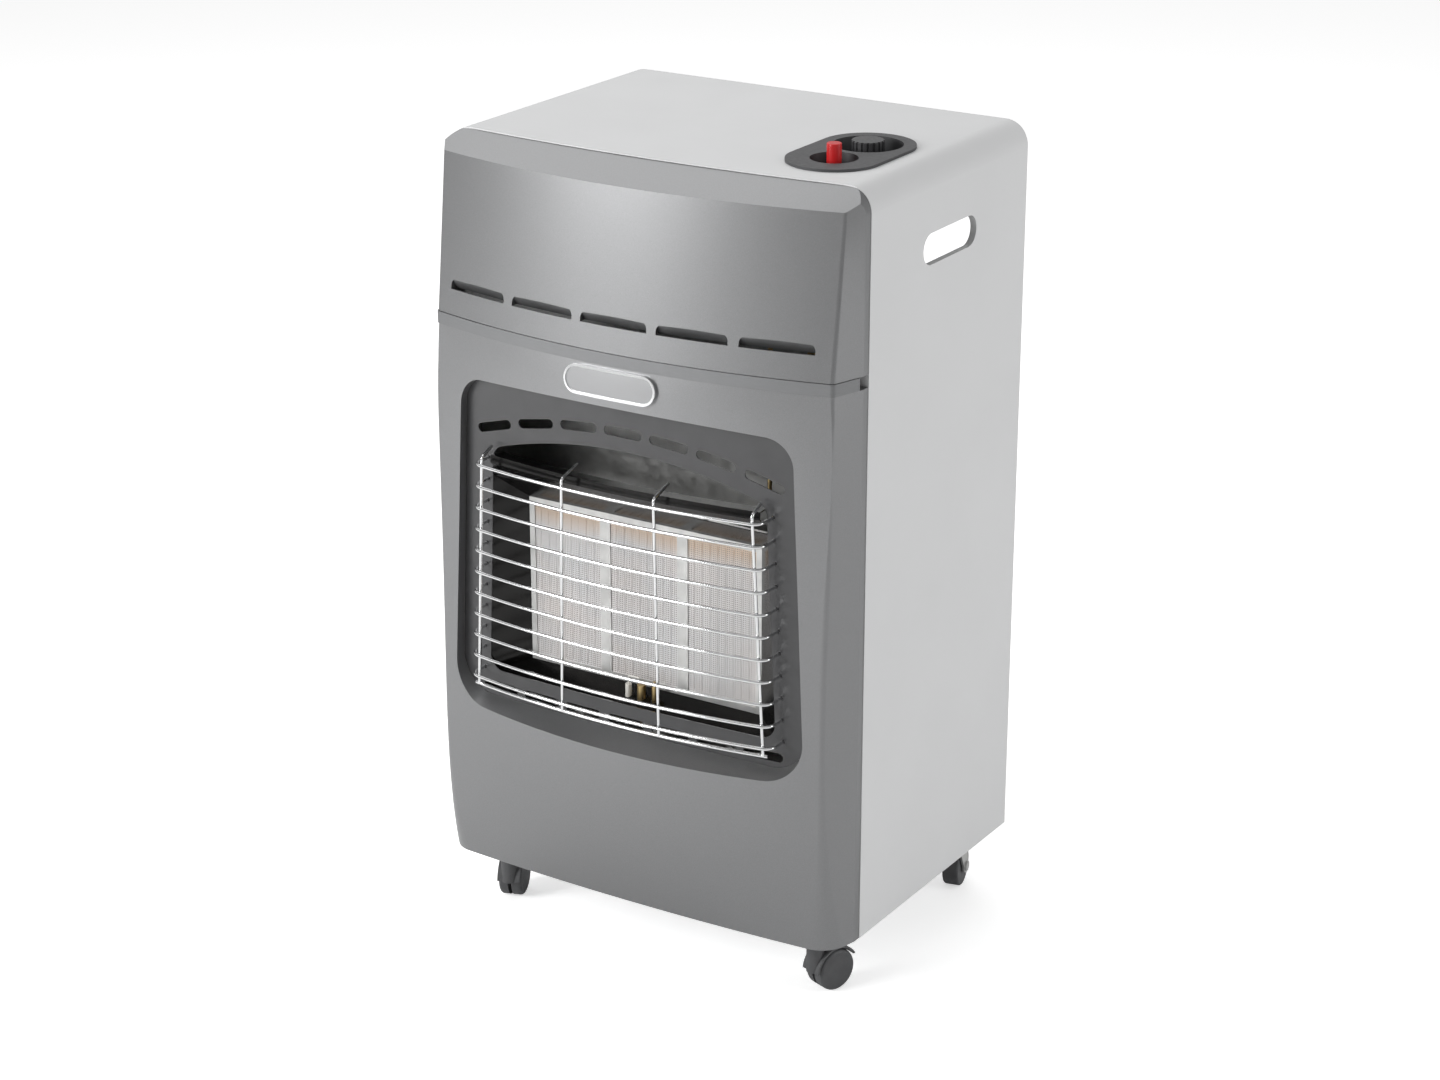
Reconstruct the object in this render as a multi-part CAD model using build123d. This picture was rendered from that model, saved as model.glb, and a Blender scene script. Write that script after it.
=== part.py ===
from build123d import *
import math
import os

# A portable gas cabinet heater: a bent steel cabinet on four casters, with a ceramic
# plaque burner behind a chromed wire guard and a bay for the gas bottle at the rear.
# Millimetres, +Z up, the front faces -Y. The origin is on the floor, below the middle
# of the heater's outline.

os.makedirs("parts", exist_ok=True)

# Cabinet
cabinet_width = 430.0
cabinet_depth = 282.0
cabinet_top = 755.0
cabinet_bottom = 66.0
sheet = 1.0
edge_radius = 22.0
return_flange = 12.0
top_bow = 11.0
seat_gap = 0.3

# Hand holes in the two sides
hand_hole_length = 96.0
hand_hole_height = 28.0
hand_hole_y = -2.0
hand_hole_drop = 76.0
hand_hole_lip = 5.0

# Front panels: depths are measured forwards from the cabinet's front edge
panel_wall = 1.5
panel_side_gap = 0.5
panel_band = 8.0
crease_inset = 10.5
crease_radius = 5.0
face_sag = 27.0
depth_at_face_top = 24.0
depth_at_strip = 40.5
depth_at_waist = 46.0
depth_at_belly = 49.0
depth_at_apron = 46.0
depth_at_foot = 41.0
foot_sag = 8.0
foot_radius = 28.0
apron_sag = 25.0
apron_radius = 12.0
waist_z = 400.0
belly_z = 240.0
apron_z = 140.0
chamfer_drop = 17.0
panel_flange = 12.0
panel_foot_flange = 8.0

# Trim strip between the two front panels
strip_top = 595.0
strip_height = 11.0
strip_proud = 0.8
strip_thickness = 3.0
strip_end_setback = 13.0

# Louvred vents in the upper panel
vent_count = 5
vent_pitch = 77.0
vent_length = 68.0
vent_height = 10.0
vent_bottom_above_strip = 23.0
vent_pocket_depth = 7.0
vent_corner = 7.0

# Name plate, left blank
plate_length = 94.0
plate_height = 26.0
plate_thickness = 3.0
plate_z = 568.5
plate_rim = 2.0
plate_rim_height = 0.8

# Fire opening in the lower panel
opening_top = 542.0
opening_top_rise = 6.0
opening_bottom = 217.0
opening_bottom_rise = 7.0
opening_half_top = 174.0
opening_half_bottom = 189.0
opening_radius_top = 28.0
opening_radius_bottom = 34.0
opening_front_depth = 82.0
opening_back_depth = 40.0
ledge_rise = 19.0
ledge_draw_in = 3.0
flange_wall = 1.5

# Fire surround, the dark plate behind the opening
surround_apex_depth = 51.0
surround_sag = 9.0
surround_sag_half = 186.0
surround_sheet = 1.0
surround_overlap = 7.0
slot_count = 7
slot_pitch = 47.0
slot_length = 39.0
slot_height = 8.5
upper_slot_z = 519.0
upper_slot_drop = 20.0
lower_slot_z = 246.0
window_half_top = 143.0
window_half_bottom = 153.0
window_bottom = 262.0
window_top = 478.0
window_top_rise = 24.0
window_radius = 14.0

# Wire guard
wire_radius = 1.5
guard_apex_depth = 80.0
guard_arc_radius = 870.0
guard_wire_count = 11
guard_top_z = 468.0
guard_bottom_z = 262.0
guard_half_top = 149.0
guard_half_bottom = 160.0
guard_bend = 11.0
guard_end_depth = 40.0
guard_hole_clearance = 0.3
upright_inset = 8.0
upright_inner_share = 0.34
upright_weld = 0.4
hook_above_top_wire = 7.0
hook_rise = 7.0
hook_back = 24.0
outer_hook_back = 15.0
hook_bend = 4.0
foot_bar_drop = 8.0

# Visor over the fire
visor_half = 141.0
visor_lip_depth = 65.0
visor_crest_z = 474.0
visor_sheet = 1.2
visor_fold = 7.0
visor_lip_run = 7.0
visor_back_run = 16.0
visor_tab_run = 6.0
visor_tab_half_spacing = 60.0

# Plaque burners
plaque_count = 3
plaque_width = 74.0
plaque_height = 150.0
plaque_thickness = 13.0
plaque_pitch = 82.0
plaque_bottom = 274.0
plaque_front_depth = 19.0
plaque_groove_count = 8
plaque_groove = 1.0
burner_wall = 1.1
burner_depth = 41.0
burner_fit = 0.1
burner_ledge = 3.0
frame_plate = 1.0
frame_rim = 4.0
frame_overlap = 1.5
venturi_radius = 12.0
venturi_bore = 10.0
venturi_length = 58.0
venturi_bell = 8.0
venturi_flare = 3.0

# Firebox liner, the reflector between surround and burners
liner_sheet = 1.0
liner_half_top = 147.0
liner_half_bottom = 157.0
liner_front_top = 452.0
liner_front_bottom = 257.0
liner_setback = 7.2

# Injector rail and jets
rail_radius = 6.0
rail_bore = 4.5
rail_half_length = 104.0
rail_z = 190.0
jet_flats = 10.0
jet_height = 12.0
jet_orifice = 0.6
rail_boss_height = 8.0
rail_bracket_half_spacing = 41.0
rail_bracket_width = 16.0
bracket_drop = 24.0

# Heat shield and the rails that carry the burners
shield_sheet = 0.8
shield_back_gap = 11.0
shield_bottom = 90.0
shield_top = 540.0
shield_flange = 14.0
burner_rail_height = 16.0
burner_rail_margin = 26.0
burner_rail_end = 3.0

# Base tray
tray_sheet = 1.5
tray_wall_height = 20.0
tray_front_reach = 24.0
tray_front_setback = 25.0
tray_rib_height = 3.0
tray_rib_half_spacing = 80.0
tray_rib_width = 14.0

# Rear rail and lift-off rear cover
rear_rail_height = 20.0
rear_rail_depth = 15.0
rear_rail_top = 575.0
cover_sheet = 1.0
cover_bulge = 44.0
cover_from_side = 10.0
cover_rim = 12.0
cover_slope = 42.0
cover_corner = 20.0
cover_bottom = 78.0
cover_top = 566.0
cover_gap = 0.3
tab_width = 30.0
tab_thickness = 2.0
tab_half_spacing = 120.0
tab_length = 12.0
tab_clearance = 0.5
cover_vent_count = 7
cover_vent_pitch = 34.0
cover_vent_length = 24.0
cover_vent_height = 6.0
cover_vent_rows = (170.0, 190.0, 455.0, 475.0)

# Control recess in the top
recess_from_side = 74.0
recess_from_front = 65.0
recess_spacing = 58.0
recess_radius = 42.0
recess_rim = 2.5
recess_overlap = 3.0
recess_cut_clearance = 0.5
recess_wall = 2.0
button_well_radius = 21.0
button_well_depth = 20.0
knob_well_radius = 31.0
knob_well_depth = 22.0

# Igniter
igniter_radius = 9.0
igniter_length = 52.0
igniter_flange = 2.0
igniter_flange_radius = 12.0
button_radius = 6.5
button_fit = 0.08
button_above_plate = 13.0
button_travel = 6.0
button_length = 36.0
button_edge = 1.0
nut_height = 6.0
nut_flats = 24.0

# Knob, spindle and gas valve
knob_radius = 14.5
knob_height = 18.0
knob_above_plate = 4.0
knob_flute_count = 18
knob_flute_radius = 1.2
knob_push = 4.0
spindle_radius = 4.0
spindle_fit = 0.05
knob_fit = 0.02
spindle_flat = 1.2
plunger_radius = 2.5
plunger_length = 12.0
valve_drop = 33.0
valve_width = 44.0
valve_length = 52.0
valve_height = 38.0
valve_corner = 3.0
valve_boss_length = 6.0
valve_boss_wall = 2.0
spindle_seat_depth = 16.0
spindle_in_knob = 12.0
knob_edge = 0.8
supply_pipe_drop = 27.0
pilot_pipe_drop = 31.0
bracket_sheet = 1.5
bracket_half_depth = 22.0
bracket_flange = 10.0
bracket_hole_clearance = 2.0
pipe_radius = 4.0
pilot_pipe_radius = 2.0
pipe_bend = 18.0
pilot_pipe_bend = 5.0
supply_pipe_outboard = 14.0
pilot_pipe_inboard = 17.0
inlet_radius = 4.25
inlet_length = 22.0
inlet_drop = 22.0
inlet_collar = 4.0

# Pilot burner set
pilot_x = 4.0
pilot_top = 276.0
pilot_depth = 31.0
pilot_radius = 4.0
pilot_pipe_depth = 9.0
pilot_low_z = 238.0
pilot_plate_z = 252.0
pilot_plate_margin = 6.0
pilot_hole_clearance = 1.0
electrode_radius = 3.0
electrode_tip_radius = 0.8
electrode_below = 6.0
thermocouple_radius = 2.5
electrode_spacing = 14.0
spark_gap = 6.0
spark_bend = 2.0
pilot_port_top = 3.0
pilot_port_height = 5.0

# Casters
wheel_radius = 20.0
axle_radius = 3.0
axle_fit = 0.05
stem_radius = 4.0
stem_fit = 0.05
front_caster_from_side = 45.0
front_caster_ahead = 1.0
front_caster_yaw = -20.0
front_trail = 18.0
front_wheel_width = 9.5
front_hood_width = 22.0
hood_radius = 23.5
hood_wall = 2.0
hood_top = 63.0
hood_tower_radius = 8.0
hood_nose_z = 18.0
hood_tail_z = 32.0
hood_web = 2.4
front_wheel_gap = 0.5
front_axle_half = 8.5
wheel_edge = 3.5
stem_bottom = 48.0
stem_boss_radius = 8.5
stem_boss_height = 26.0
stem_collar = 3.0
stem_collar_gap = 0.5
rear_caster_from_side = 37.0
rear_caster_from_rear = 38.0
rear_caster_yaw = 12.0
rear_trail = 16.0
rear_wheel_width = 16.0
fork_sheet = 2.0
fork_side_gap = 1.0
fork_top = 62.0
fork_top_reach = 12.0
rear_wheel_edge = 2.0
fork_leg_margin = 4.0
swivel_collar = 2.0
swivel_collar_gap = 0.3
axle_head = 1.5
axle_head_margin = 2.0
caster_plate_thickness = 2.0
caster_plate_length = 52.0
caster_plate_width = 40.0
caster_screw_radius = 2.5
caster_screw_inset = 6.0
screw_nut_height = 3.0
screw_head_height = 2.0
screw_head_margin = 2.0
screw_flats = 8.0
screw_fit = 0.2

# Values worked out from the ones above
half_width = cabinet_width / 2
front_edge = -cabinet_depth / 2
rear_edge = cabinet_depth / 2
inner_half = half_width - sheet
panel_half = half_width - panel_side_gap
strip_bottom = strip_top - strip_height
face_top = cabinet_top - chamfer_drop
chamfer_top = cabinet_top - sheet - seat_gap
plaque_front = front_edge - plaque_front_depth
plaque_top = plaque_bottom + plaque_height
burner_back = plaque_front + burner_depth
shield_front = burner_back + shield_back_gap
guard_apex = front_edge - guard_apex_depth
surround_front = front_edge - surround_apex_depth
frame_half = plaque_pitch + plaque_width / 2 + burner_wall + frame_rim
frame_bottom = plaque_bottom - burner_wall - frame_rim
frame_top = plaque_top + burner_wall + frame_rim
frame_front = plaque_front - frame_plate
venturi_y = (plaque_front + plaque_thickness + burner_back) / 2
hand_hole_z = cabinet_top - hand_hole_drop
plate_top = cabinet_top + recess_rim
recess_x = half_width - recess_from_side
recess_front_y = front_edge + recess_from_front
recess_rear_y = recess_front_y + recess_spacing
button_axis = (recess_x, recess_front_y)
knob_axis = (recess_x, recess_rear_y)
recess_cut_radius = recess_radius - recess_overlap
knob_floor = plate_top - knob_well_depth
button_floor = plate_top - button_well_depth
button_top = plate_top + button_above_plate
button_bottom = button_top - button_length
knob_top = plate_top + knob_above_plate
knob_bottom = knob_top - knob_height
spindle_top = knob_bottom + spindle_in_knob
valve_top = cabinet_top - valve_drop
spindle_seat = valve_top - spindle_seat_depth
supply_pipe_x = recess_x + supply_pipe_outboard
supply_pipe_z = valve_top - supply_pipe_drop
pilot_pipe_x = recess_x - pilot_pipe_inboard
pilot_pipe_z = valve_top - pilot_pipe_drop
inlet_z = valve_top - inlet_drop
bracket_front_y = recess_rear_y - bracket_half_depth
bracket_rear_y = recess_rear_y + bracket_half_depth
valve_front = recess_rear_y - valve_length / 2
valve_rear = recess_rear_y + valve_length / 2
rail_boss_top = rail_z + rail_boss_height
liner_front = surround_front + surround_sheet + liner_setback
pilot_y = front_edge - pilot_depth
pilot_pipe_y = front_edge - pilot_pipe_depth
tray_front_half = half_width - tray_front_setback
cover_half = half_width - cover_from_side
front_caster_x = half_width - front_caster_from_side
front_caster_y = front_edge - front_caster_ahead
rear_caster_x = half_width - rear_caster_from_side
rear_caster_y = rear_edge - rear_caster_from_rear
front_reach = guard_apex - wire_radius
rear_reach = rear_edge + cover_gap + cover_sheet + cover_bulge
outline_middle_y = (front_reach + rear_reach) / 2


def save(name, solid):
    """Write one piece, moved so that the outline's middle is at y = 0."""
    export_step(Pos(0, -outline_middle_y, 0) * solid, f"parts/{name}.step")


def block(x0, x1, y0, y1, z0, z1):
    """A box between two corners."""
    middle = Pos((x0 + x1) / 2, (y0 + y1) / 2, (z0 + z1) / 2)
    return middle * Box(x1 - x0, y1 - y0, z1 - z0)


def rod(start, end, radius):
    """A round bar between two points."""
    start, end = Vector(*start), Vector(*end)
    axis = Plane(start, z_dir=end - start)
    return axis * Cylinder(radius, (end - start).length, align=(Align.CENTER, Align.CENTER, Align.MIN))


def taper(start, end, radius_start, radius_end):
    """A round tapered bar between two points."""
    start, end = Vector(*start), Vector(*end)
    axis = Plane(start, z_dir=end - start)
    lift = (Align.CENTER, Align.CENTER, Align.MIN)
    return axis * Cone(radius_start, radius_end, (end - start).length, align=lift)


def rod_along(path, radius):
    """A round bar swept along a path of lines and arcs."""
    return sweep(Plane(path @ 0, z_dir=path % 0) * Circle(radius), path=path)


def upright_stadium(x, y_front, y_rear, radius, z0, z1):
    """A block whose plan is a slot along Y with the given end radius."""
    middle = (y_front + y_rear) / 2
    length = y_rear - y_front + 2 * radius
    plan = Plane.XY.offset(z0) * Pos(x, middle) * Rot(0, 0, 90) * SlotOverall(length, 2 * radius)
    return extrude(plan, z1 - z0)


def arch(plane_y, half_top, half_bottom, bottom, bottom_rise, top, top_rise, radius_top, radius_bottom):
    """An opening's outline seen from the front: arched top and bottom, rounded corners."""
    with BuildSketch(Plane.XZ.offset(-plane_y)) as outline:
        with BuildLine():
            ThreePointArc((-half_bottom, bottom), (0, bottom + bottom_rise), (half_bottom, bottom))
            Line((half_bottom, bottom), (half_top, top))
            ThreePointArc((half_top, top), (0, top + top_rise), (-half_top, top))
            Line((-half_top, top), (-half_bottom, bottom))
        make_face()
    face = outline.sketch.faces()[0]
    face = face.fillet_2d(radius_bottom, face.vertices().sort_by(Axis.Z)[:2])
    return face.fillet_2d(radius_top, face.vertices().sort_by(Axis.Z)[-2:])


# Cabinet: one sheet bent over the top and down both sides
def cabinet_block(inset):
    """The cabinet's outer form, drawn in on the top and the sides."""
    half = half_width - inset
    body = block(-half, half, front_edge, rear_edge, cabinet_bottom, cabinet_top - inset)
    return fillet(body.edges().filter_by(Axis.Y).group_by(Axis.Z)[-1], edge_radius - inset)


def hand_hole(side, grow, x_in, x_out):
    """The slot of one hand hole, between two distances from the middle."""
    plane = Plane((side * x_in, hand_hole_y, hand_hole_z), x_dir=(0, 1, 0), z_dir=(side, 0, 0))
    slot = SlotOverall(hand_hole_length + 2 * grow, hand_hole_height + 2 * grow)
    return extrude(plane * slot, x_out - x_in)


def cabinet_hollow(inset):
    """The room inside the cabinet's form, open at the bottom."""
    room = cabinet_block(inset)
    return room + Pos(0, 0, -edge_radius) * room


def make_cabinet():
    shell = cabinet_block(0) - cabinet_hollow(sheet)
    border = cabinet_block(0) - cabinet_hollow(return_flange)
    far = half_width + 1
    front_slice = block(-far, far, front_edge, front_edge + sheet, 0, cabinet_top)
    rear_slice = block(-far, far, rear_edge - sheet, rear_edge, 0, cabinet_top)
    shell += (border & front_slice) + (border & rear_slice)
    lip_half = half_width - edge_radius
    with BuildSketch(Plane.XY.offset(cabinet_top - sheet)) as lip:
        with BuildLine():
            ThreePointArc((-lip_half, front_edge), (0, front_edge - top_bow), (lip_half, front_edge))
            Line((lip_half, front_edge), (-lip_half, front_edge))
        make_face()
    shell += extrude(lip.sketch, sheet)
    for side in (-1, 1):
        shell += hand_hole(side, sheet, inner_half - hand_hole_lip, inner_half)
        shell -= hand_hole(side, 0, inner_half - hand_hole_lip - 1, half_width + 1)
    cut = upright_stadium(
        recess_x, recess_front_y, recess_rear_y, recess_cut_radius, cabinet_top - 2 * sheet, cabinet_top + 1
    )
    return shell - cut


save("cabinet_wrap", make_cabinet())


# Front panels: bowed forwards in plan, with a bevelled crease down each side
def plan_face(z, inset, depth, sag, radius, wall=0.0):
    """The front panels' outline in plan at one height, drawn in by a wall."""
    back_x = panel_half - wall
    back_y = front_edge if wall <= 0 else front_edge + wall
    band_y = front_edge - panel_band
    crease_x = panel_half - inset - wall
    crease_y = front_edge - depth + wall
    with BuildSketch(Plane.XY.offset(z)) as plan:
        with BuildLine():
            Polyline(
                (-crease_x, crease_y), (-back_x, band_y), (-back_x, back_y),
                (back_x, back_y), (back_x, band_y), (crease_x, crease_y),
            )
            ThreePointArc((crease_x, crease_y), (0, crease_y - sag), (-crease_x, crease_y))
        make_face()
        creases = plan.vertices().filter_by(lambda v: abs(v.Y - crease_y) < 0.01)
        fillet(creases, max(radius - wall, 1.0))
    return plan.sketch


def upper_plan(z, wall=0.0):
    """The upper panel's plan, which leans back evenly towards the top."""
    share = (z - strip_top) / (face_top - strip_top)
    depth = depth_at_strip + share * (depth_at_face_top - depth_at_strip)
    return plan_face(z, crease_inset, depth, face_sag, crease_radius, wall)


def chamfer_cutter(drop):
    """What lies above the sloping top edge of the upper panel."""
    sections = []
    crease_x = panel_half - crease_inset
    for x in (-half_width - 5, -half_width / 2, 0, half_width / 2, half_width + 5):
        low_y = front_edge - depth_at_face_top - face_sag * (1 - (x / crease_x) ** 2)
        high_y = front_edge - top_bow * (1 - (x / (half_width - edge_radius)) ** 2)
        slope = (chamfer_top - face_top) / (high_y - low_y)
        ahead = edge_radius
        corners = [
            (x, low_y - ahead, face_top - drop - slope * ahead),
            (x, high_y, chamfer_top - drop),
            (x, rear_edge, chamfer_top - drop),
            (x, rear_edge, cabinet_top + edge_radius),
            (x, low_y - ahead, cabinet_top + edge_radius),
        ]
        sections.append(make_face(Polyline(*corners, close=True).edges()))
    return loft(sections)


def front_outline(wall):
    """The rounded outline of the cabinet's front, drawn in by a wall."""
    half = panel_half - wall
    top = cabinet_top - panel_side_gap - wall
    body = block(-half, half, front_edge - cabinet_depth, rear_edge, cabinet_bottom, top)
    return fillet(body.edges().filter_by(Axis.Y).group_by(Axis.Z)[-1], edge_radius - panel_side_gap - wall)


def vent(x):
    """The scoop of one louvre and the hole it makes in the face."""
    crease_x = panel_half - crease_inset
    bottom = strip_top + vent_bottom_above_strip
    share = (bottom + vent_height / 2 - strip_top) / (face_top - strip_top)
    depth = depth_at_strip + share * (depth_at_face_top - depth_at_strip)
    y = front_edge - depth - face_sag * (1 - (x / crease_x) ** 2)
    turn = math.degrees(math.atan(2 * face_sag * x / crease_x**2))

    def scoop(grow, start):
        half = vent_length / 2 + grow
        depth, height = vent_pocket_depth + grow, vent_height + grow
        outline = block(-half, half, start, depth, 0, height)
        outline = fillet(outline.edges().filter_by(Axis.Y).group_by(Axis.Z)[-1], vent_corner + grow)
        slope = [(0, start, 0), (0, start, height), (0, 0, height), (0, depth, 0)]
        if start > 0:
            slope[1:3] = [(0, start, height * (1 - start / depth))]
        wedge = extrude(make_face(Polyline(*slope, close=True).edges()), half + 1, both=True)
        return outline & wedge

    place = Pos(x, y, bottom) * Rot(0, 0, turn)
    return place * scoop(panel_wall, panel_wall * 0.8), place * scoop(0, -panel_band)


def make_upper_panel():
    low = strip_top + seat_gap
    high = cabinet_top + 5
    outer = loft([upper_plan(low), upper_plan(high)], ruled=True)
    outer = (outer - chamfer_cutter(0)) & front_outline(0)
    inner = loft([upper_plan(low + panel_wall, panel_wall), upper_plan(high, panel_wall)], ruled=True)
    inner = (inner - chamfer_cutter(panel_wall * 1.1)) & front_outline(panel_wall)
    panel = outer - inner
    panel -= extrude(upper_plan(low - 1, panel_flange), panel_wall + 2)
    for index in range(vent_count):
        scoop, hole = vent((index - (vent_count - 1) / 2) * vent_pitch)
        panel = panel + scoop - hole
    return panel


save("upper_front_panel", make_upper_panel())


def lower_stations():
    """Height, crease inset, depth, sag and crease radius down the lower panel."""
    return [
        (strip_bottom - seat_gap, crease_inset, depth_at_strip, face_sag, crease_radius),
        (waist_z, crease_inset, depth_at_waist, face_sag, crease_radius),
        (belly_z, crease_inset + 1, depth_at_belly, face_sag, crease_radius + 1),
        (apron_z, crease_inset - 1, depth_at_apron, apron_sag, apron_radius),
        (cabinet_bottom, crease_inset - 2, depth_at_foot, foot_sag, foot_radius),
    ]


def lower_form(wall=0.0):
    """The lower panel's bowed form, drawn in by a wall on all sides."""
    stations = lower_stations()
    sections = []
    for index, (z, *shape) in enumerate(stations):
        if index == 0:
            z -= wall
        if index == len(stations) - 1:
            z += wall
        sections.append(plan_face(z, *shape, wall=wall))
    return loft(sections)


def opening_form(grow, front_depth=opening_front_depth, back_depth=opening_back_depth):
    """The fire opening as a solid that narrows towards the back, over a sloping ledge."""
    sections = []
    for depth, share in ((front_depth, 0.0), (back_depth, 1.0)):
        rise = ledge_rise * share
        draw_in = ledge_draw_in * share
        sections.append(arch(
            front_edge - depth, opening_half_top - draw_in + grow, opening_half_bottom - draw_in + grow,
            opening_bottom + rise - grow, opening_bottom_rise, opening_top + grow, opening_top_rise,
            opening_radius_top + grow, opening_radius_bottom + grow,
        ))
    return loft(sections, ruled=True)


def behind_surround(gap, z0, z1):
    """All that lies behind the fire surround's curved front, plus a gap."""
    reach = half_width
    end_y = surround_front + gap + surround_sag * (reach / surround_sag_half) ** 2
    with BuildSketch(Plane.XY.offset(z0)) as plan:
        with BuildLine():
            ThreePointArc((-reach, end_y), (0, surround_front + gap), (reach, end_y))
            Polyline((reach, end_y), (reach, rear_edge), (-reach, rear_edge), (-reach, end_y))
        make_face()
    return extrude(plan.sketch, z1 - z0)


def make_lower_panel():
    outer = lower_form()
    panel = outer - lower_form(panel_wall)
    stations = lower_stations()
    top_z, *top_shape = stations[0]
    foot_z, *foot_shape = stations[-1]
    panel -= extrude(plan_face(top_z - panel_wall - 1, *top_shape, wall=panel_flange), panel_wall + 2)
    panel -= extrude(plan_face(foot_z - 1, *foot_shape, wall=panel_foot_flange), panel_wall + 2)
    flange = opening_form(flange_wall) & outer
    flange -= behind_surround(-seat_gap, cabinet_bottom, cabinet_top)
    return panel + flange - opening_form(0)


save("lower_front_panel", make_lower_panel())


def make_strip():
    shape = (crease_inset, depth_at_strip, face_sag, crease_radius)
    outer = extrude(plan_face(strip_bottom, *shape, wall=-strip_proud), strip_height)
    inner = extrude(plan_face(strip_bottom - 1, *shape, wall=strip_thickness - strip_proud), strip_height + 2)
    strip = outer - inner
    end_y = front_edge - strip_end_setback
    return strip - block(-cabinet_width, cabinet_width, end_y, rear_edge, cabinet_bottom, cabinet_top)


save("trim_strip", make_strip())


def pill(length, height):
    """A bar with round ends that reaches through the front at the name plate's place."""
    plane = Plane((0, front_edge, plate_z), x_dir=(1, 0, 0), z_dir=(0, -1, 0))
    return extrude(plane * SlotOverall(length, height), cabinet_depth)


def make_name_plate():
    back = lower_form(-seat_gap)
    field = lower_form(plate_rim_height - plate_thickness - seat_gap)
    front = lower_form(-plate_thickness - seat_gap)
    plate = (front - back) & pill(plate_length, plate_height)
    return plate - (pill(plate_length - 2 * plate_rim, plate_height - 2 * plate_rim) - field)


save("name_plate", make_name_plate())


# Fire surround: a dark sheet just behind the opening, slotted above and below the fire
def guard_wires():
    """Half width and height of each long guard wire, from the top down."""
    for index in range(guard_wire_count):
        share = index / (guard_wire_count - 1)
        half = guard_half_top + share * (guard_half_bottom - guard_half_top)
        yield half, guard_top_z + share * (guard_bottom_z - guard_top_z)


def make_surround():
    sheet_metal = behind_surround(0, cabinet_bottom, cabinet_top)
    sheet_metal -= behind_surround(surround_sheet, cabinet_bottom - 1, cabinet_top + 1)
    outline = arch(
        surround_front - surround_apex_depth, opening_half_top - ledge_draw_in / 2 + surround_overlap,
        opening_half_bottom - ledge_draw_in / 2 + surround_overlap,
        opening_bottom + ledge_rise / 2 - surround_overlap, opening_bottom_rise,
        opening_top + surround_overlap, opening_top_rise,
        opening_radius_top + surround_overlap, opening_radius_bottom + surround_overlap,
    )
    plate = sheet_metal & extrude(outline, -4 * surround_apex_depth)
    window = arch(
        surround_front - surround_apex_depth, window_half_top, window_half_bottom, window_bottom, 0.5,
        window_top, window_top_rise, window_radius, window_radius,
    )
    plate -= extrude(window, -4 * surround_apex_depth)
    for index in range(slot_count):
        x = (index - (slot_count - 1) / 2) * slot_pitch
        reach = (slot_count - 1) / 2 * slot_pitch
        arch_z = upper_slot_z - upper_slot_drop * (x / reach) ** 2
        lean = math.atan(2 * upper_slot_drop * x / reach**2)
        for z, angle in ((arch_z, lean), (lower_slot_z, 0.0)):
            start = (x, surround_front - surround_apex_depth, z)
            plane = Plane(start, x_dir=(math.cos(angle), 0, -math.sin(angle)), z_dir=(0, 1, 0))
            plate -= extrude(plane * SlotOverall(slot_length, slot_height), 4 * surround_apex_depth)
    for half, z in guard_wires():
        for side in (-1, 1):
            hole_radius = wire_radius + guard_hole_clearance
            plate -= rod((side * half, guard_apex, z), (side * half, front_edge, z), hole_radius)
    return plate


save("fire_surround", make_surround())


# Guard: chromed wires bent back into the surround at both ends, welded to four uprights
def guard_y(x, behind=0.0):
    """How far forward a guard wire's middle line is at a distance from the middle."""
    return guard_apex + behind + guard_arc_radius - math.sqrt(guard_arc_radius**2 - x**2)


def long_wire(half, z):
    end_y = front_edge - guard_end_depth
    with BuildLine(Plane.XY.offset(z)) as line:
        Line((-half, end_y), (-half, guard_y(half)))
        ThreePointArc((-half, guard_y(half)), (0, guard_apex), (half, guard_y(half)))
        Line((half, guard_y(half)), (half, end_y))
        fillet(line.vertices().filter_by(lambda v: v.Y < end_y - 1), guard_bend)
    return rod_along(line.wires()[0], wire_radius)


def make_guard():
    wires = [long_wire(half, z) for half, z in guard_wires()]
    behind = 2 * wire_radius - upright_weld
    foot_z = guard_bottom_z - foot_bar_drop
    hook_z = guard_top_z + hook_above_top_wire
    outer_top = guard_half_top - upright_inset
    outer_bottom = guard_half_bottom - upright_inset
    for share in (-1, -upright_inner_share, upright_inner_share, 1):
        top_x, foot_x = share * outer_top, share * outer_bottom
        top_y, foot_y = guard_y(top_x, behind), guard_y(foot_x, behind)
        back = outer_hook_back if abs(share) == 1 else hook_back
        path = FilletPolyline(
            (top_x, top_y + back, hook_z + hook_rise), (top_x, top_y, hook_z), (foot_x, foot_y, foot_z),
            radius=hook_bend,
        )
        wires.append(rod_along(path, wire_radius))
    bar_half = outer_bottom + upright_inset / 2
    bar_behind = behind + upright_weld
    with BuildLine(Plane.XY.offset(foot_z)) as bar:
        end_y = guard_y(bar_half, bar_behind)
        ThreePointArc((-bar_half, end_y), (0, guard_y(0, bar_behind)), (bar_half, end_y))
    wires.append(rod_along(bar.wires()[0], wire_radius))
    return wires[0].fuse(*wires[1:])


save("guard_grille", make_guard())


# Visor: a folded reflector over the fire that follows the guard's curve
def folded(points, thickness):
    """The closed section of a folded sheet: a line of points and its parallel."""
    normals = []
    for (u0, v0), (u1, v1) in zip(points, points[1:]):
        length = math.hypot(u1 - u0, v1 - v0)
        normals.append(((v0 - v1) / length, (u1 - u0) / length))
    other = []
    for index, (u, v) in enumerate(points):
        a = normals[max(index - 1, 0)]
        b = normals[min(index, len(normals) - 1)]
        mitre = thickness / (1 + a[0] * b[0] + a[1] * b[1])
        other.append((u + mitre * (a[0] + b[0]), v + mitre * (a[1] + b[1])))
    return list(points) + other[::-1]


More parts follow.
